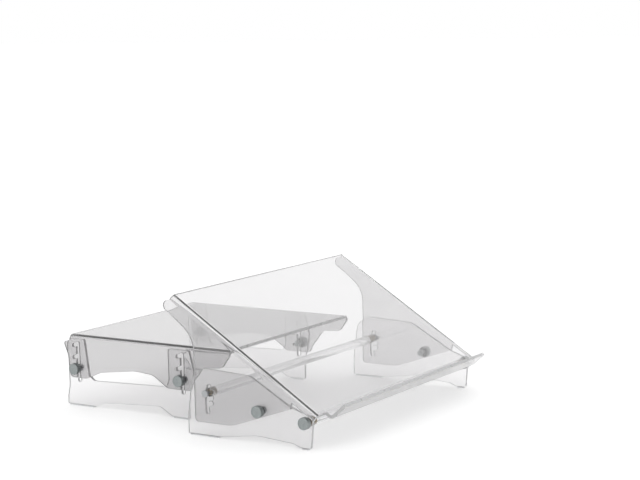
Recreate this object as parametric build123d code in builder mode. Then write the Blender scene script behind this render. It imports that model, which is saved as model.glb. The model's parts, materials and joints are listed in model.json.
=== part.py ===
"""Clear acrylic desk set: a sloping document holder that stands in front of a low
riser.  Both are bent from sheet and stand on arched side panels that are clamped
with knurled thumbscrews.  Millimetres, +Y away from the user, +Z up,
origin on the desk under the middle of the set."""
from build123d import *
from math import atan2, cos, degrees, hypot, pi, radians, sin
import os

os.makedirs("parts", exist_ok=True)

# ---- sheet and fits ----
sheet = 5.0                 # thickness of every acrylic panel
bend_inside = 4.0           # inside radius of every folded edge
panel_gap = 0.3             # between a folded side and the panel behind it
slot_play = 0.4             # round a shank that travels in a slot
hole_play = 0.08            # round a shank that only turns
slide_gap = 0.2             # between flat faces that slide on each other
foot_pad = 2.0              # thickness of the silicone strips under the feet
strip_inset = 4.0           # from a strip's end to the end of its foot

# ---- thumbscrews, nuts and studs ----
shank_radius = 3.0
shank_length = 19.0
head_radius = 9.5
head_depth = 10.0
head_ridges = 20
ridge_height = 0.7
head_bevel = 0.8
nut_across_flats = 10.0
nut_depth = 5.0
stud_head_radius = 5.5
stud_head_depth = 4.0
stud_grip = 12.0            # how far a stud runs into its crossbar
insert_radius = 4.5
insert_length = 15.0

# ---- document slope ----
slope_width = 492.0         # over both cheeks
slope_length = 301.0
slope_tilt = 32.0           # at rest, the steepest setting
slope_edge_height = 54.0    # top face of the sheet at its lower edge, above the desk
lip_width = 434.0
lip_reach = 11.0            # from the slope's lower edge to the fold of the lip
lip_height = 31.0
lip_fold = 74.0             # turn of the lip out of the slope, in degrees
cheek_bottom = 23.0         # lower edge of the cheek, above the desk
cheek_back = 218.0          # upright back edge, from the slope's lower edge
cheek_flat = 150.0          # where the lower edge starts to rise
cheek_front = 45.0          # where the cheek steps up to the fold
cheek_front_height = 59.0
cheek_shoulder = 147.0      # height at which the back edge turns upright
cheek_nose = 12.0           # how far the cheek's nose stands out behind the slope
cheek_nose_drop = 7.0       # from the slope's upper edge to the tip of the nose
brow_drop = 10.0            # how far the rounded brow falls below that tip
ogee_turn = (36.0, 33.0)    # from the tip to where the S-curve turns, forwards and down
ogee_end = 18.0             # how far the S-curve runs on below the shoulder

# ---- document holder's side panels ----
holder_height = 104.0       # top edge at the back
holder_back = 235.0         # back foot, from the slope's lower edge
holder_front = 12.0
holder_front_height = 48.0
holder_waist = 9.0          # how far the back edge is drawn in above its foot
holder_arch = 11.0          # height of the arch between the feet
holder_top_front = 118.0    # where the top edge starts to fall to the front
holder_brow = (45.0, 60.0)  # where the front edge turns up into the top edge
holder_shoulder = 30.0      # from the top edge's back corner to the back foot
front_foot = 19.0
back_foot = 60.0
crossbar_radius = 7.0
front_bar = (20.5, 41.0)    # from the slope's lower edge, and above the desk
tilt_pivot = (99.0, 51.0)
index_stud = (196.0, 68.0)
tilt_travel = 11.0          # degrees that the slope can be laid flatter
tilt_slot_spare = 6.0       # degrees that its slot runs on past the first and the last notch
tilt_steps = 3
notch_reach = 8.0           # how far a notch runs out of its slot
notch_drop = 3.0

# ---- riser ----
riser_width = 343.0
riser_depth = 321.0         # of the top, without the noses of its sides
riser_height = 118.5
riser_setback = 205.0       # from the slope's lower edge to the riser's front edge
valance = 28.0              # depth of the folded side under the overhanging front
ear_bottom = 48.0           # lower edge of the folded side at its bolts
ear_width = 46.0
side_arch = 69.5            # top of the arch between the ears
side_nose = 13.0            # how far the side's nose stands out behind the top
side_nose_drop = 12.5
side_hollow = 34.0          # from the top down to the hollow under the nose
arch_shoulder = 56.0        # from the front bolt to where the arch levels out
arch_crown = 92.0           # from the front bolt to the crown of the arch
arch_fall = 9.0             # how far the arch falls from its crown to its back end
valance_run = (14.0, 48.0)  # along the valance's lower edge, from the riser's front edge
front_bolt = 95.0           # behind the riser's front edge
back_bolt_inset = 14.0      # before the riser's back edge
bolt_height = 63.5
lift_travel = 40.0
lift_steps = 3
slot_foot = 20.0            # how far a slot runs on below its lowest notch
leg_top_gap = 2.5           # under the platform at its lowest setting
leg_front = 83.0            # front foot, behind the riser's front edge
leg_overhang = 12.0         # how far the back foot reaches behind the riser's back edge
leg_waist = 4.0             # how far the back edge is drawn in above its foot
leg_bulge = 10.0            # how far the front edge swells above its foot
leg_front_foot = 36.0
leg_back_foot = 59.0
leg_arch = 15.5
leg_arch_back = 9.0
leg_ramps = (24.0, 14.0)    # length of the arch's front and back ramps
upright_flare = 9.0         # how far an upright widens down to the rail
front_upright = 40.0
back_upright = 36.0
rail_top = 44.0             # top edge of the rail between the uprights

# ---- derived places ----
fold = bend_inside + sheet                       # outside radius of a folded edge
fold_middle = bend_inside + sheet / 2
run, rise = cos(radians(slope_tilt)), sin(radians(slope_tilt))
lip_run, lip_rise = cos(radians(lip_fold)), sin(radians(lip_fold))
lip_tip = (-lip_reach - lip_height * lip_run, lip_height * lip_rise - sheet / 2)
lip_front = (sheet / 2 * lip_rise - lip_tip[0]) * run + (lip_tip[1] - sheet / 2 * lip_run) * rise
back_bolt = riser_depth - back_bolt_inset
leg_back = riser_depth + leg_overhang
riser_back = riser_setback + leg_back
holder_y = (lip_front - riser_back) / 2          # slope's lower edge
riser_y = holder_y + riser_setback               # riser's front edge
cheek_inside = slope_width / 2 - sheet
holder_inside = cheek_inside - panel_gap - sheet
holder_face = cheek_inside - panel_gap           # outer face of a side panel
platform_face = riser_width / 2
leg_inside = platform_face - 2 * sheet - panel_gap
bolts = ((front_bolt, bolt_height), (back_bolt, bolt_height))
sides = {"left": -1, "right": 1}


def side_plane(x, y=0.0):
    """Upright plane across X, its own x along +Y and its own y along +Z."""
    return Plane(origin=(x, y, 0), x_dir=(0, 1, 0), z_dir=(1, 0, 0))


def panel_plane(side, inside, y):
    """Plane from which a side panel is extruded by one sheet towards +X."""
    return side_plane(inside if side > 0 else -inside - sheet, y)


def screw_plane(side, seat, y, place):
    """Plane at `seat` from the middle, facing outwards, its origin on the screw's axis."""
    return Plane(origin=(side * seat, y + place[0], place[1]), x_dir=(0, 1, 0), z_dir=(side, 0, 0))


def slope_plane(x):
    """Side plane with its own x up the slope and its own y out of the slope's top face."""
    return Plane(origin=(x, holder_y, slope_edge_height), x_dir=(0, run, rise), z_dir=(1, 0, 0))


def on_slope(along, out):
    """A point of the slope, from the slope's lower edge and above the desk."""
    return (along * run - out * rise, slope_edge_height + along * rise + out * run)


def outline(*corners):
    """Closed face in the current sketch from (across, up, corner radius) corners."""
    with BuildLine() as edge:
        FilletPolyline(*[corner[:2] for corner in corners],
                       radius=[corner[2] for corner in corners], close=True)
    make_face(edge.edges())


def folded_channel(width, top, depth):
    """Section of a sheet that is folded down along both sides, in the current sketch."""
    half = width / 2 - sheet / 2
    with BuildLine() as middle:
        FilletPolyline((-half, top - depth), (-half, top - sheet / 2), (half, top - sheet / 2),
                       (half, top - depth), radius=fold_middle)
    trace(middle.line, line_width=sheet)


def notch(y, z, turn):
    """Slot for one setting, from (y, z) back by notch_reach and down by notch_drop."""
    reach = hypot(notch_reach, notch_drop)
    dip = degrees(atan2(notch_drop, notch_reach))
    middle = Location((y, z)) * Location((0, 0, 0), (0, 0, turn - dip)) * Location((reach / 2, 0))
    with Locations(middle):
        SlotCenterToCenter(reach, 2 * (shank_radius + slot_play), mode=Mode.SUBTRACT)


# ---- riser: platform ----
def riser_side():
    """Folded side of the platform: valance in front, then an arch between two ears."""
    valance_edge = riser_height - valance
    ear_front = front_bolt - ear_width / 2
    ear_back = ear_front + ear_width + 4
    outline((0, riser_height - fold, 0),
            (valance_run[0], valance_edge, 8),
            (valance_run[1], valance_edge - 2.5, 14),
            (ear_front, ear_bottom + 10, 16),
            (ear_front + 3, ear_bottom, 7),
            (ear_back, ear_bottom, 14),
            (front_bolt + arch_shoulder, side_arch - 3, 26),
            (front_bolt + arch_crown, side_arch, 60),
            (back_bolt - 50, side_arch - arch_fall, 50),
            (back_bolt - 20, ear_bottom, 14),
            (riser_depth, ear_bottom, 7),
            (riser_depth + 4, riser_height - side_hollow, 30),
            (riser_depth + side_nose, riser_height - side_nose_drop, 5),
            (riser_depth, riser_height - fold, 0))


with BuildPart() as riser_platform:
    with BuildSketch(Plane(origin=(0, riser_y, 0), x_dir=(-1, 0, 0), z_dir=(0, 1, 0))):
        folded_channel(riser_width, riser_height, fold + 1)
    extrude(amount=riser_depth)
    for side in sides.values():
        with BuildSketch(panel_plane(side, platform_face - sheet, riser_y)):
            riser_side()
            with Locations(*bolts):
                Circle(shank_radius + hole_play, mode=Mode.SUBTRACT)
        extrude(amount=sheet)
riser_platform.part.label = "riser_platform"
export_step(riser_platform.part, "parts/riser_platform.step")


# ---- riser: legs ----
def ladder(y, z):
    """Upright slot in the current sketch with a notch behind it at each height."""
    length = lift_travel + slot_foot
    with Locations(Location((y, z + lift_travel - length / 2), (0, 0, 90))):
        SlotCenterToCenter(length, 2 * (shank_radius + slot_play), mode=Mode.SUBTRACT)
    for step in range(lift_steps):
        notch(y, z + step * lift_travel / (lift_steps - 1), 0)


def riser_leg(side):
    """Arched side panel with two uprights, each with a ladder of three settings."""
    top = riser_height - sheet - leg_top_gap
    back = leg_back - leg_waist
    front = leg_front - leg_bulge
    front_foot_end = leg_front + leg_front_foot
    front_window = front + front_upright + upright_flare
    back_window = back - back_upright
    with BuildPart() as leg:
        with BuildSketch(panel_plane(side, leg_inside, riser_y)):
            outline((leg_front, foot_pad, 2),
                    (front_foot_end, foot_pad, 5),
                    (front_foot_end + leg_ramps[0], leg_arch, 16),
                    (back - leg_back_foot - leg_ramps[1], leg_arch_back, 3),
                    (leg_back - leg_back_foot, foot_pad, 4),
                    (leg_back, foot_pad, 2),
                    (leg_back, 14, 14),
                    (back, 32, 30),
                    (back, top, 10),
                    (back_window, top, 4),
                    (back_window - upright_flare, rail_top, 14),
                    (front_window, rail_top + 5, 14),
                    (front_window, top, 4),
                    (leg_front - 2, top, 4),
                    (front - 1, 78, 40),
                    (leg_front, 34, 60))
            for bolt in bolts:
                ladder(*bolt)
        extrude(amount=sheet)
    return leg.part


for name, side in sides.items():
    panel = riser_leg(side)
    panel.label = "riser_leg_" + name
    export_step(panel, "parts/riser_leg_" + name + ".step")


# ---- document slope ----
def slope_cheek():
    """Side of the slope below its fold, with an S-shaped back edge and a raised front."""
    top = on_slope(slope_length, -fold)
    front = on_slope(cheek_front, -fold)
    nose = (top[0] + cheek_nose, top[1] - cheek_nose_drop)
    with BuildLine() as edge:
        crown = Polyline(front, top, (top[0] + cheek_nose * 0.35, top[1] - 1))
        brow = ThreePointArc(crown @ 1, nose, (nose[0] - cheek_nose / 3, nose[1] - brow_drop))
        ogee = Spline(brow @ 1, (nose[0] - ogee_turn[0], nose[1] - ogee_turn[1]),
                      (cheek_back, cheek_shoulder - ogee_end), tangents=((-1, -0.75), (0, -1)))
        FilletPolyline(ogee @ 1, (cheek_back, cheek_bottom), (cheek_flat, cheek_bottom),
                       (cheek_front, cheek_front_height), front, radius=(6, 60, 0))
    make_face(edge.edges())


with BuildPart() as document_slope:
    with BuildSketch(Plane(origin=(0, holder_y, slope_edge_height), x_dir=(-1, 0, 0), z_dir=(0, run, rise))):
        folded_channel(slope_width, 0, fold + 1)
    extrude(amount=slope_length)
    with BuildSketch(slope_plane(-lip_width / 2)):
        with BuildLine() as fold_line:
            FilletPolyline((lip_reach, -sheet / 2), (-lip_reach, -sheet / 2), lip_tip, radius=fold_middle)
        trace(fold_line.line, line_width=sheet)
    extrude(amount=lip_width)
    for side in sides.values():
        with BuildSketch(panel_plane(side, cheek_inside, holder_y)):
            slope_cheek()
            with Locations(tilt_pivot, index_stud):
                Circle(shank_radius + hole_play, mode=Mode.SUBTRACT)
        extrude(amount=sheet)
document_slope.part.label = "document_slope"
export_step(document_slope.part, "parts/document_slope.step")


# ---- document holder: side panels and crossbars ----
def tilt_ladder():
    """Slot round the pivot in the current sketch with a notch for each tilt."""
    y, z = index_stud[0] - tilt_pivot[0], index_stud[1] - tilt_pivot[1]
    radius, rest = hypot(y, z), degrees(atan2(z, y))
    lowest = rest - tilt_travel
    with BuildLine(mode=Mode.PRIVATE):
        path = CenterArc((0, 0), radius, lowest - tilt_slot_spare, tilt_travel + 2 * tilt_slot_spare)
    with Locations(tilt_pivot):
        SlotArc(path, 2 * (shank_radius + slot_play), mode=Mode.SUBTRACT)
    for step in range(tilt_steps):
        turn = lowest + step * tilt_travel / (tilt_steps - 1)
        out, up = radius * cos(radians(turn)), radius * sin(radians(turn))
        notch(tilt_pivot[0] + out, tilt_pivot[1] + up, 180 + turn)


def holder_panel(side):
    """Arched side panel that carries the slope on its pivot and, in its ladder, the rear crossbar."""
    foot_start = holder_front + 2
    foot_end = foot_start + front_foot
    with BuildPart() as panel:
        with BuildSketch(panel_plane(side, holder_inside, holder_y)):
            outline((foot_start, foot_pad, 3),
                    (foot_end, foot_pad, 4),
                    (foot_end + 11, 6.5, 12),
                    (110, holder_arch, 90),
                    (holder_back - back_foot, foot_pad, 12),
                    (holder_back, foot_pad, 2),
                    (holder_back, 30, 30),
                    (holder_back - holder_waist, 92, 24),
                    (holder_back - holder_shoulder, holder_height + 1, 16),
                    (holder_top_front, holder_height - 3, 24),
                    (*holder_brow, 50),
                    (holder_front - 2.5, holder_front_height, 4),
                    (holder_front, 20, 40))
            with Locations(front_bar, tilt_pivot):
                Circle(shank_radius + hole_play, mode=Mode.SUBTRACT)
            tilt_ladder()
        extrude(amount=sheet)
    return panel.part


for name, side in sides.items():
    panel = holder_panel(side)
    panel.label = "holder_panel_" + name
    export_step(panel, "parts/holder_panel_" + name + ".step")


def crossbar(place, end):
    """Round acrylic bar that reaches `end` to both sides, bored at its ends for an insert."""
    with BuildPart() as bar:
        with BuildSketch(screw_plane(1, -end, holder_y, place)):
            Circle(crossbar_radius)
        extrude(amount=2 * end)
        for side in sides.values():
            with BuildSketch(screw_plane(side, end, holder_y, place)):
                Circle(insert_radius)
            extrude(amount=-insert_length, mode=Mode.SUBTRACT)
    return bar.part


crossbars = {"front": (front_bar, holder_inside), "rear": (index_stud, holder_inside - slide_gap)}
for name, (place, end) in crossbars.items():
    bar = crossbar(place, end)
    bar.label = name + "_crossbar"
    export_step(bar, "parts/" + bar.label + ".step")


# ---- fasteners ----
def thumbscrew(side, seat, y, place):
    """Knurled head outside `seat` with a plain shank that runs inwards from it."""
    rim = []
    for corner in range(2 * head_ridges):
        turn, radius = pi * corner / head_ridges, head_radius - ridge_height * (corner % 2)
        rim.append((radius * cos(turn), radius * sin(turn)))
    with BuildPart() as screw:
        with BuildSketch(screw_plane(side, seat, y, place)):
            Polygon(*rim, align=None)
        extrude(amount=head_depth)
        chamfer(screw.faces().sort_by(Axis.X)[-1 if side > 0 else 0].edges(), head_bevel)
        with BuildSketch(screw_plane(side, seat, y, place)):
            Circle(shank_radius)
        extrude(amount=-shank_length)
    return screw.part


def insert(side, place, end):
    """Threaded bush in the end of a crossbar, flush with its end."""
    with BuildPart() as bush:
        with BuildSketch(screw_plane(side, end, holder_y, place)):
            Circle(insert_radius)
            Circle(shank_radius + hole_play / 2, mode=Mode.SUBTRACT)
        extrude(amount=-insert_length)
    return bush.part


def nut(side, outside, y, place):
    """Hexagon nut whose outer face is at `outside`."""
    with BuildPart() as piece:
        with BuildSketch(screw_plane(side, outside, y, place)):
            RegularPolygon(nut_across_flats / 2, 6, major_radius=False)
            Circle(shank_radius + hole_play / 2, mode=Mode.SUBTRACT)
        extrude(amount=-nut_depth)
    return piece.part


def stud(side):
    """Headed stud through the slope's cheek and the panel's ladder into the rear crossbar."""
    seat = slope_width / 2
    with BuildPart() as piece:
        with BuildSketch(screw_plane(side, seat, holder_y, index_stud)):
            Circle(stud_head_radius)
        extrude(amount=stud_head_depth)
        with BuildSketch(screw_plane(side, seat, holder_y, index_stud)):
            Circle(shank_radius)
        extrude(amount=-(seat - holder_inside + stud_grip))
    return piece.part


def export_group(solids, name):
    """Write like pieces as one node of separate solids."""
    group = Compound(children=list(solids))
    group.label = name
    export_step(group, "parts/" + name + ".step")


thumbscrews = {
    "riser_thumbscrew_front": (platform_face, riser_y, bolts[0]),
    "riser_thumbscrew_back": (platform_face, riser_y, bolts[1]),
    "tilt_thumbscrew": (slope_width / 2, holder_y, tilt_pivot),
    "crossbar_thumbscrew": (holder_face, holder_y, front_bar),
}
for name, (seat, y, place) in thumbscrews.items():
    for side_name, side in sides.items():
        screw = thumbscrew(side, seat, y, place)
        screw.label = name + "_" + side_name
        export_step(screw, "parts/" + screw.label + ".step")

for name, side in sides.items():
    piece = stud(side)
    piece.label = "index_stud_" + name
    export_step(piece, "parts/" + piece.label + ".step")

export_group([nut(side, leg_inside - slide_gap, riser_y, bolt)
              for side in sides.values() for bolt in bolts], "riser_nuts")
export_group([nut(side, holder_inside, holder_y, tilt_pivot) for side in sides.values()], "tilt_nuts")
for name, (place, end) in crossbars.items():
    export_group([insert(side, place, end) for side in sides.values()], name + "_crossbar_inserts")


# ---- feet ----
def foot_strip(side, inside, y, start, length):
    """Silicone strip between a foot and the desk."""
    with BuildPart() as strip:
        with BuildSketch(panel_plane(side, inside, y)):
            with Locations((start, 0)):
                Rectangle(length, foot_pad, align=(Align.MIN, Align.MIN))
        extrude(amount=sheet)
    return strip.part


riser_feet = ((leg_front, leg_front_foot), (leg_back - leg_back_foot, leg_back_foot))
holder_feet = ((holder_front + 2, front_foot), (holder_back - back_foot, back_foot))
for name, inside, y, feet in (("riser_foot_strips", leg_inside, riser_y, riser_feet),
                              ("holder_foot_strips", holder_inside, holder_y, holder_feet)):
    export_group([foot_strip(side, inside, y, start + strip_inset, length - 2 * strip_inset)
                  for side in sides.values() for start, length in feet], name)
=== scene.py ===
"""The looks of the clear acrylic document holder and its riser, in metres."""
import json
import math

import bmesh
import bpy
from mathutils import Matrix, Vector
from mathutils.bvhtree import BVHTree


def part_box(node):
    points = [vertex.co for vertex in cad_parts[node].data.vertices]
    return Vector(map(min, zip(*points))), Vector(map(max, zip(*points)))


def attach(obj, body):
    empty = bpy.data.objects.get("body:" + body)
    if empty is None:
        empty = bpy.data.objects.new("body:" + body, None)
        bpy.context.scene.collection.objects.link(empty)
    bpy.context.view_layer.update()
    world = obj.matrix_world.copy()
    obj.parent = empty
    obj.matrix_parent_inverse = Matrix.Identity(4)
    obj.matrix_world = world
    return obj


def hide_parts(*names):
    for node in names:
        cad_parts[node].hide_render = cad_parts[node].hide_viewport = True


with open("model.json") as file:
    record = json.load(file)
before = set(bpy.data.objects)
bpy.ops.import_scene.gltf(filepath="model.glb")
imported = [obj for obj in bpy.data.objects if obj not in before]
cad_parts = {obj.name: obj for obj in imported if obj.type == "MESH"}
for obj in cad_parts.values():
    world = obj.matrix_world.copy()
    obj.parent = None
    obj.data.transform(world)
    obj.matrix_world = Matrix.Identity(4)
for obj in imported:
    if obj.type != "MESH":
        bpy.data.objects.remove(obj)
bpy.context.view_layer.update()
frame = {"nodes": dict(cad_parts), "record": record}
nodes = frame["nodes"]
record = frame["record"]
body_of = {node: body for body, members in record["behaviour"]["bodies"].items() for node in members}
slot_of = {row["node"]: row["material_slot"] for row in record["subparts"]}

# ---- camera, fitted to the photograph's 640 x 480 frame ----
CAMERA_PLACE = (-2.3236, -1.6053, 0.6315)
CAMERA_AZIMUTH = math.radians(57.19)      # from +Y towards +X
CAMERA_DOWN = math.radians(7.39)
CAMERA_ROLL = math.radians(-1.24)
CAMERA_LENS = 98.87                       # mm
CAMERA_SENSOR = 36                        # mm
CAMERA_REACH = 50

# ---- colours ----
# painted shade: the slope's clear sheet is darkened below the legs' and panels' tint
SLOPE_PAINTED_SHADE_TINT = (0.77, 0.765, 0.77)
RISER_TOP_PAINTED_SHADE_TINT = (0.61, 0.603, 0.608)     # it and its folded sides, darkened well below the legs' and panels' tint as painted shade
LEG_TINT = (0.92, 0.915, 0.92)            # the riser's legs
PANEL_TINT = (0.93, 0.925, 0.93)          # the holder's side panels
CUT_EDGE_TINT = (0.97, 0.97, 0.975)
CUT_EDGE_CLARITY = 0.4                    # the rest scatters at the cut
ROD_TINT = (0.95, 0.95, 0.955)
KNURLED_STEEL = (0.31, 0.335, 0.335)
PLAIN_STEEL = (0.40, 0.41, 0.42)
BRASS = (0.60, 0.47, 0.27)
SILICONE = (0.86, 0.87, 0.88)
SILICONE_CLARITY = 0.8
SILICONE_IOR = 1.41
ACRYLIC_IOR = 1.49
CLARITY = 0.955                           # share of the light that the sheet passes unscattered
FLOOR_COLOUR = (0.93, 0.93, 0.93)
FLOOR_ROUGHNESS = 0.9

# ---- light ----
FLOOR_GLOW = 0.35                         # lifts the lit floor to white for the eye
WORLD_FILL = 0.75                         # the studio's soft fill
LAMP_SIZE = 1.6
KEY_PLACE = (-1.6, -1.0, 2.4)             # over the left shoulder
KEY_POWER = 6
FILL_PLACE = (1.8, 0.4, 1.8)
FILL_POWER = 3
FLOOR_SIZE = 60

# ---- sheets ----
POLISHED_EDGE = 0.0005                    # rounding of every cut edge of the sheet
SHEET_AND_PLAY = 0.006                    # a face with no more behind it is a broad face
FLAT_WITHIN = math.radians(0.6)           # neighbouring faces that are one plane
CORNER_OVER = math.radians(50)            # a cut edge's corner, steeper than any fold's facets
SAME_POINT = 1e-6                         # points nearer than this are one
JUST_INSIDE = 1e-5                        # where a ray starts below a face
SHEET_CREASE = 40                         # degrees, above which shading stays crisp

# ---- thumbscrews ----
HEAD_DEPTH = 0.010
HEAD_RADIUS = 0.0095
HEAD_CREASE = 30                          # degrees
COLLAR_RADIUS = 0.0083                    # plain turned band next to the sheet
COLLAR_DEPTH = 0.0013
COLLAR_BEVEL = 0.0003
NECK = 0.0005                             # how far the collar flares out before the knurl
KNURL_START = 0.0020                      # above the seat
KNURL_STOP = 0.0090
KNURL_STEPS = 20                          # rings along the knurl
KNURL_RIDGES = 30
KNURL_FACES = 4                           # faces round one ridge
KNURL_DEPTH = 0.0005
KNURL_LEAN = 350                          # ridges that the knurl leans over per metre
RIM_ROUNDING = ((0.0004, 0.0006), (0.0009, 0.0002), (0.0011, 0.0))   # inwards, below the face
DISH_RADIUS = 0.0070
DISH_DEPTH = 0.0004
DISH_SLOPE = 0.0002
CENTRE_RADIUS = 0.0020                    # mark left by the lathe's centre
CENTRE_TIP = 0.0008
CENTRE_DEPTH = 0.0005
SHANK_RADIUS = 0.003
SHANK_LEAD = (0.0008, 0.0002)             # how far the tip's two rings are drawn in
SHANK_LEAD_LENGTH = 0.0006
SHANK_ROOT = 0.0004                       # how far the shank runs into the head
THREAD_PITCH = 0.001
THREAD_DEPTH = 0.00035
THREAD_STEPS = 20                         # faces round one turn
THREAD_RINGS = 4                          # rings along one pitch


def add_camera():
    """A camera at the photograph's place, looking down at the object."""
    forward = Vector((math.sin(CAMERA_AZIMUTH) * math.cos(CAMERA_DOWN),
                      math.cos(CAMERA_AZIMUTH) * math.cos(CAMERA_DOWN),
                      -math.sin(CAMERA_DOWN)))
    level_right = forward.cross(Vector((0, 0, 1))).normalized()
    level_up = level_right.cross(forward)
    right = math.cos(CAMERA_ROLL) * level_right + math.sin(CAMERA_ROLL) * level_up
    up = math.cos(CAMERA_ROLL) * level_up - math.sin(CAMERA_ROLL) * level_right
    data = bpy.data.cameras.new("camera")
    data.lens = CAMERA_LENS
    data.sensor_width = CAMERA_SENSOR
    data.clip_end = CAMERA_REACH
    camera = bpy.data.objects.new("camera", data)
    bpy.context.collection.objects.link(camera)
    turn = Matrix((right, up, -forward)).transposed().to_4x4()
    camera.matrix_world = Matrix.Translation(CAMERA_PLACE) @ turn
    bpy.context.scene.camera = camera


# ---- node helpers ----
def new_material(name):
    """A new node material, its tree and its Principled shader."""
    material = bpy.data.materials.new(name)
    material.use_nodes = True
    tree = material.node_tree
    return material, tree, tree.nodes["Principled BSDF"]


def object_noise(tree, scale, detail=4.0, stretch=(1, 1, 1)):
    """Noise that stays on the piece, from its own coordinates."""
    place = tree.nodes.new("ShaderNodeTexCoord")
    mapping = tree.nodes.new("ShaderNodeMapping")
    mapping.inputs["Scale"].default_value = stretch
    noise = tree.nodes.new("ShaderNodeTexNoise")
    noise.inputs["Scale"].default_value = scale
    noise.inputs["Detail"].default_value = detail
    tree.links.new(place.outputs["Object"], mapping.inputs["Vector"])
    tree.links.new(mapping.outputs["Vector"], noise.inputs["Vector"])
    return noise.outputs["Fac"]


def spread(tree, value, low, high, start=0.3, stop=0.7):
    """Maps a 0 to 1 value to the range low to high."""
    ranged = tree.nodes.new("ShaderNodeMapRange")
    ranged.inputs["From Min"].default_value = start
    ranged.inputs["From Max"].default_value = stop
    ranged.inputs["To Min"].default_value = low
    ranged.inputs["To Max"].default_value = high
    tree.links.new(value, ranged.inputs["Value"])
    return ranged.outputs["Result"]


def bump(tree, shader, height, distance, strength=1.0):
    """Adds a height to the shader's normal."""
    node = tree.nodes.new("ShaderNodeBump")
    node.inputs["Distance"].default_value = distance
    node.inputs["Strength"].default_value = strength
    tree.links.new(height, node.inputs["Height"])
    tree.links.new(node.outputs["Normal"], shader.inputs["Normal"])


def mottled(tree, shader, colour, scale, dark, light):
    """A base colour that varies a little over the surface."""
    tone = tree.nodes.new("ShaderNodeMix")
    tone.data_type = "RGBA"
    tone.inputs["A"].default_value = (*[dark * channel for channel in colour], 1)
    tone.inputs["B"].default_value = (*[min(1.0, light * channel) for channel in colour], 1)
    tree.links.new(object_noise(tree, scale), tone.inputs["Factor"])
    tree.links.new(tone.outputs["Result"], shader.inputs["Base Color"])


def clear_acrylic(name, tint):
    """Colourless cast sheet: polished, faintly wavy, with hairline scuffs where it is handled. Its tint
    darkens the slope's and the riser's copies as painted shade.
    """
    material, tree, shader = new_material(name)
    mottled(tree, shader, tint, scale=6, dark=0.985, light=1.01)
    shader.inputs["Transmission Weight"].default_value = CLARITY
    shader.inputs["IOR"].default_value = ACRYLIC_IOR
    scuffs = object_noise(tree, 22, detail=8.0, stretch=(1, 0.15, 0.15))
    tree.links.new(spread(tree, scuffs, 0.0, 0.06, start=0.55, stop=0.8), shader.inputs["Roughness"])
    bump(tree, shader, object_noise(tree, 7, detail=1.0), distance=0.0004, strength=0.5)
    return material


def cut_edge():
    """Saw-cut and lightly polished edge of the sheet, which scatters the light a little."""
    material, tree, shader = new_material("cut_edge")
    mottled(tree, shader, CUT_EDGE_TINT, scale=60, dark=0.95, light=1.0)
    shader.inputs["Transmission Weight"].default_value = CUT_EDGE_CLARITY
    shader.inputs["IOR"].default_value = ACRYLIC_IOR
    tree.links.new(spread(tree, object_noise(tree, 120), 0.22, 0.42), shader.inputs["Roughness"])
    bump(tree, shader, object_noise(tree, 90), distance=0.0001, strength=0.6)
    return material


def turned_metal(name, colour, roughness, grain):
    """Metal with a fine machined grain and a little colour variation."""
    material, tree, shader = new_material(name)
    shader.inputs["Metallic"].default_value = 1.0
    mottled(tree, shader, colour, scale=grain, dark=0.75, light=1.2)
    tree.links.new(spread(tree, object_noise(tree, grain * 2), roughness * 0.8, roughness * 1.25),
                   shader.inputs["Roughness"])
    bump(tree, shader, object_noise(tree, grain * 6), distance=0.00004)
    return material


def clear_silicone():
    """Soft milky strip with a fine moulded skin."""
    material, tree, shader = new_material("silicone")
    mottled(tree, shader, SILICONE, scale=300, dark=0.95, light=1.0)
    shader.inputs["Transmission Weight"].default_value = SILICONE_CLARITY
    shader.inputs["IOR"].default_value = SILICONE_IOR
    tree.links.new(spread(tree, object_noise(tree, 500), 0.3, 0.45), shader.inputs["Roughness"])
    bump(tree, shader, object_noise(tree, 900), distance=0.00003)
    return material


def finishes():
    """Every material, by the name it is used under."""
    return {
        # the slope's copy of the clear sheet, darkened as painted shade
        "slope_sheet_painted_shade": clear_acrylic("slope_sheet_painted_shade", SLOPE_PAINTED_SHADE_TINT),
        # the riser's copy of the clear sheet, darkened as painted shade
        "riser_sheet_painted_shade": clear_acrylic("riser_sheet_painted_shade", RISER_TOP_PAINTED_SHADE_TINT),
        "leg_sheet": clear_acrylic("leg_sheet", LEG_TINT),
        "panel_sheet": clear_acrylic("panel_sheet", PANEL_TINT),
        "cut_edge": cut_edge(),
        "rod": clear_acrylic("rod", ROD_TINT),
        "knurled_metal": turned_metal("knurled_metal", KNURLED_STEEL, 0.30, 350),
        "plain_steel": turned_metal("plain_steel", PLAIN_STEEL, 0.28, 500),
        "brass": turned_metal("brass", BRASS, 0.25, 500),
        "silicone": clear_silicone(),
    }


# ---- pieces that stand for CAD nodes ----
def place_piece(mesh_data, name, node, material):
    """Makes the object, gives it the node's body, slot and place in the frame."""
    piece = bpy.data.objects.new(name, mesh_data)
    bpy.context.collection.objects.link(piece)
    mesh_data.materials.append(material)
    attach(piece, body_of[node])
    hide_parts(node)
    return piece


def smooth_below(mesh_data, degrees):
    """Smooth shading, with edges sharper than the angle kept crisp."""
    for face in mesh_data.polygons:
        face.use_smooth = True
    mesh_data.set_sharp_from_angle(angle=math.radians(degrees))


def mark_cut_edges(shape):
    """Gives the second material to faces with more than a sheet's thickness behind them."""
    shape.normal_update()
    shape.faces.ensure_lookup_table()
    solid = BVHTree.FromBMesh(shape)
    for face in shape.faces:
        start = face.calc_center_median() - face.normal * JUST_INSIDE
        behind = solid.ray_cast(start, -face.normal, SHEET_AND_PLAY)[0]
        face.material_index = 0 if behind else 1


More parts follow.
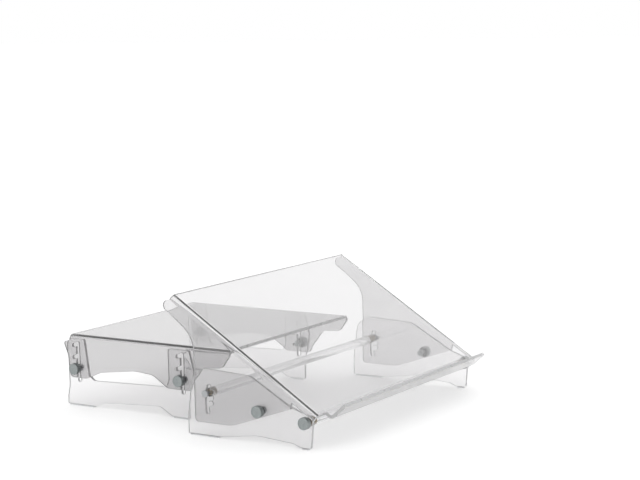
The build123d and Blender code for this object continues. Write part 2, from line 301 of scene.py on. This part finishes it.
def polished_panel(node, material, edge_material):
    """The node's own shape with its cut edges rounded as flame polishing leaves them."""
    shape = bmesh.new()
    shape.from_mesh(nodes[node].data)
    bmesh.ops.remove_doubles(shape, verts=shape.verts, dist=SAME_POINT)
    bmesh.ops.dissolve_limit(shape, angle_limit=FLAT_WITHIN, verts=shape.verts, edges=shape.edges)
    corners = [edge for edge in shape.edges if edge.is_manifold and edge.calc_face_angle() > CORNER_OVER]
    bmesh.ops.bevel(shape, geom=corners, offset=POLISHED_EDGE, segments=2, profile=0.5,
                    affect="EDGES", clamp_overlap=True)
    bmesh.ops.triangulate(shape, faces=[face for face in shape.faces if len(face.verts) > 4])
    mark_cut_edges(shape)
    mesh_data = bpy.data.meshes.new(node + "_polished")
    shape.to_mesh(mesh_data)
    shape.free()
    smooth_below(mesh_data, SHEET_CREASE)
    piece = place_piece(mesh_data, node + "_polished", node, material)
    mesh_data.materials.append(edge_material)
    flat_faces_first = piece.modifiers.new("flat_faces_first", "WEIGHTED_NORMAL")
    flat_faces_first.weight = 100
    flat_faces_first.keep_sharp = True


def add_lathe(shape, rings, steps, radius_at):
    """Adds a closed turned body: its surface runs over the rings from one end to the other.

    rings holds (radius, height) pairs, and radius_at(radius, height, turn) cuts the
    knurl or the thread into them, turn going from 0 to 1 round the axis."""
    loops = []
    for radius, height in rings:
        loop = []
        for step in range(steps):
            turn = step / steps
            reach = radius_at(radius, height, turn)
            angle = 2 * math.pi * turn
            loop.append(shape.verts.new((reach * math.cos(angle), reach * math.sin(angle), height)))
        loops.append(loop)
    for lower, upper in zip(loops, loops[1:]):
        for step in range(steps):
            after = (step + 1) % steps
            shape.faces.new((lower[step], lower[after], upper[after], upper[step]))
    shape.faces.new(reversed(loops[0]))
    shape.faces.new(loops[-1])


def ridge(turns):
    """Triangle wave: 0 on a whole number of turns, 1 halfway between."""
    return 1 - abs(2 * (turns % 1) - 1)


def knurl(radius, height, turn):
    """Crossed ridges round the head's grip."""
    if not KNURL_START <= height <= KNURL_STOP:
        return radius
    lean = KNURL_LEAN * height
    depth = max(ridge(KNURL_RIDGES * turn + lean), ridge(KNURL_RIDGES * turn - lean))
    return radius - KNURL_DEPTH * depth


def thread(radius, height, turn):
    """A right-hand thread along the shank."""
    return radius - THREAD_DEPTH * ridge(height / THREAD_PITCH - turn)


def head_rings():
    """Collar, knurled grip, rounded rim and dished face of the thumbscrew's head."""
    collar = [(SHANK_RADIUS, 0.0), (COLLAR_RADIUS - COLLAR_BEVEL, 0.0), (COLLAR_RADIUS, COLLAR_BEVEL),
              (COLLAR_RADIUS, COLLAR_DEPTH), (COLLAR_RADIUS + NECK, COLLAR_DEPTH + COLLAR_BEVEL)]
    grip = [(HEAD_RADIUS, KNURL_START + (KNURL_STOP - KNURL_START) * step / KNURL_STEPS)
            for step in range(KNURL_STEPS + 1)]
    rim = [(HEAD_RADIUS - inwards, HEAD_DEPTH - below) for inwards, below in RIM_ROUNDING]
    dish = [(DISH_RADIUS + DISH_SLOPE, HEAD_DEPTH), (DISH_RADIUS, HEAD_DEPTH - DISH_DEPTH),
            (CENTRE_RADIUS, HEAD_DEPTH - DISH_DEPTH), (CENTRE_TIP, HEAD_DEPTH - DISH_DEPTH - CENTRE_DEPTH)]
    return collar + grip + rim + dish


def shank_rings(length):
    """Threaded shank that starts in a chamfer, its root just inside the head."""
    tip = [(SHANK_RADIUS - SHANK_LEAD[0], -length),
           (SHANK_RADIUS - SHANK_LEAD[1], SHANK_LEAD_LENGTH - length)]
    count = round(THREAD_RINGS * length / THREAD_PITCH)
    threaded = [(SHANK_RADIUS, -length * (1 - step / count)) for step in range(THREAD_RINGS - 1, count)]
    return tip + threaded + [(SHANK_RADIUS, SHANK_ROOT)]


def thumbscrew(node, material):
    """Knurled head with a threaded shank, in the place of the node's plain one."""
    low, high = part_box(node)
    side = 1 if low[0] + high[0] > 0 else -1
    outside = high[0] if side > 0 else low[0]
    shape = bmesh.new()
    add_lathe(shape, head_rings(), KNURL_FACES * KNURL_RIDGES, knurl)
    add_lathe(shape, shank_rings(high[0] - low[0] - HEAD_DEPTH), THREAD_STEPS, thread)
    bmesh.ops.recalc_face_normals(shape, faces=shape.faces)
    outwards = Vector((0, 0, 1)).rotation_difference(Vector((side, 0, 0))).to_matrix().to_4x4()
    seat = Vector((outside - side * HEAD_DEPTH, (low[1] + high[1]) / 2, (low[2] + high[2]) / 2))
    shape.transform(Matrix.Translation(seat) @ outwards)
    mesh_data = bpy.data.meshes.new(node + "_turned")
    shape.to_mesh(mesh_data)
    shape.free()
    smooth_below(mesh_data, HEAD_CREASE)
    place_piece(mesh_data, node + "_turned", node, material)


def dress_nodes():
    """Finishes every CAD node by its material slot, and puts finer pieces for the
    sheets, the bars and the thumbscrews."""
    finish = finishes()
    sheets = {"document_slope": "slope_sheet_painted_shade", "riser_platform": "riser_sheet_painted_shade",
              "riser_leg_left": "leg_sheet", "riser_leg_right": "leg_sheet",
              "holder_panel_left": "panel_sheet", "holder_panel_right": "panel_sheet",
              "front_crossbar": "rod", "rear_crossbar": "rod"}
    for node, slot in slot_of.items():
        mesh_data = nodes[node].data
        mesh_data.materials.clear()
        mesh_data.materials.append(finish[sheets.get(node, slot)])
    for node, name in sheets.items():
        edges = "rod" if name == "rod" else "cut_edge"
        polished_panel(node, finish[name], finish[edges])
    for node in slot_of:
        if "thumbscrew" in node:
            thumbscrew(node, finish["knurled_metal"])


# ---- floor, world and lights ----
def seen_by_eye(tree):
    """1 for camera, transmitted and mirrored rays, 0 for those that light the object."""
    paths = tree.nodes.new("ShaderNodeLightPath")
    value = paths.outputs["Is Camera Ray"]
    for kind in ("Is Transmission Ray", "Is Glossy Ray"):
        both = tree.nodes.new("ShaderNodeMath")
        both.operation = "MAXIMUM"
        tree.links.new(value, both.inputs[0])
        tree.links.new(paths.outputs[kind], both.inputs[1])
        value = both.outputs[0]
    return value


def add_floor():
    """A plain pale floor that shows near white and keeps the object's shadow."""
    bpy.ops.mesh.primitive_plane_add(size=FLOOR_SIZE, location=(0, 0, 0))
    floor = bpy.context.object
    floor.name = "floor"
    material, tree, shader = new_material("floor")
    shader.inputs["Base Color"].default_value = (*FLOOR_COLOUR, 1)
    shader.inputs["Roughness"].default_value = FLOOR_ROUGHNESS
    shader.inputs["Emission Color"].default_value = (1, 1, 1, 1)
    tree.links.new(spread(tree, seen_by_eye(tree), 0.0, FLOOR_GLOW, start=0.0, stop=1.0),
                   shader.inputs["Emission Strength"])
    floor.data.materials.append(material)


def add_world():
    """White for camera, glossy and transmitted rays, and a soft grey fill for the rest."""
    world = bpy.data.worlds.new("studio")
    bpy.context.scene.world = world
    world.use_nodes = True
    tree = world.node_tree
    background = tree.nodes["Background"]
    tree.links.new(spread(tree, seen_by_eye(tree), WORLD_FILL, 1.0, start=0.0, stop=1.0),
                   background.inputs["Strength"])
    background.inputs["Color"].default_value = (1, 1, 1, 1)


def add_lamp(name, place, power):
    """A square soft box that faces the object."""
    data = bpy.data.lights.new(name, "AREA")
    data.size = LAMP_SIZE
    data.energy = power
    lamp = bpy.data.objects.new(name, data)
    bpy.context.collection.objects.link(lamp)
    lamp.location = place
    lamp.rotation_euler = (-Vector(place)).to_track_quat("-Z", "Y").to_euler()


def add_lights():
    """One large soft box over the left shoulder and a weaker one opposite."""
    add_lamp("key", KEY_PLACE, KEY_POWER)
    add_lamp("fill", FILL_PLACE, FILL_POWER)


add_camera()
dress_nodes()
add_floor()
add_world()
add_lights()
bpy.context.scene.view_settings.view_transform = "Standard"
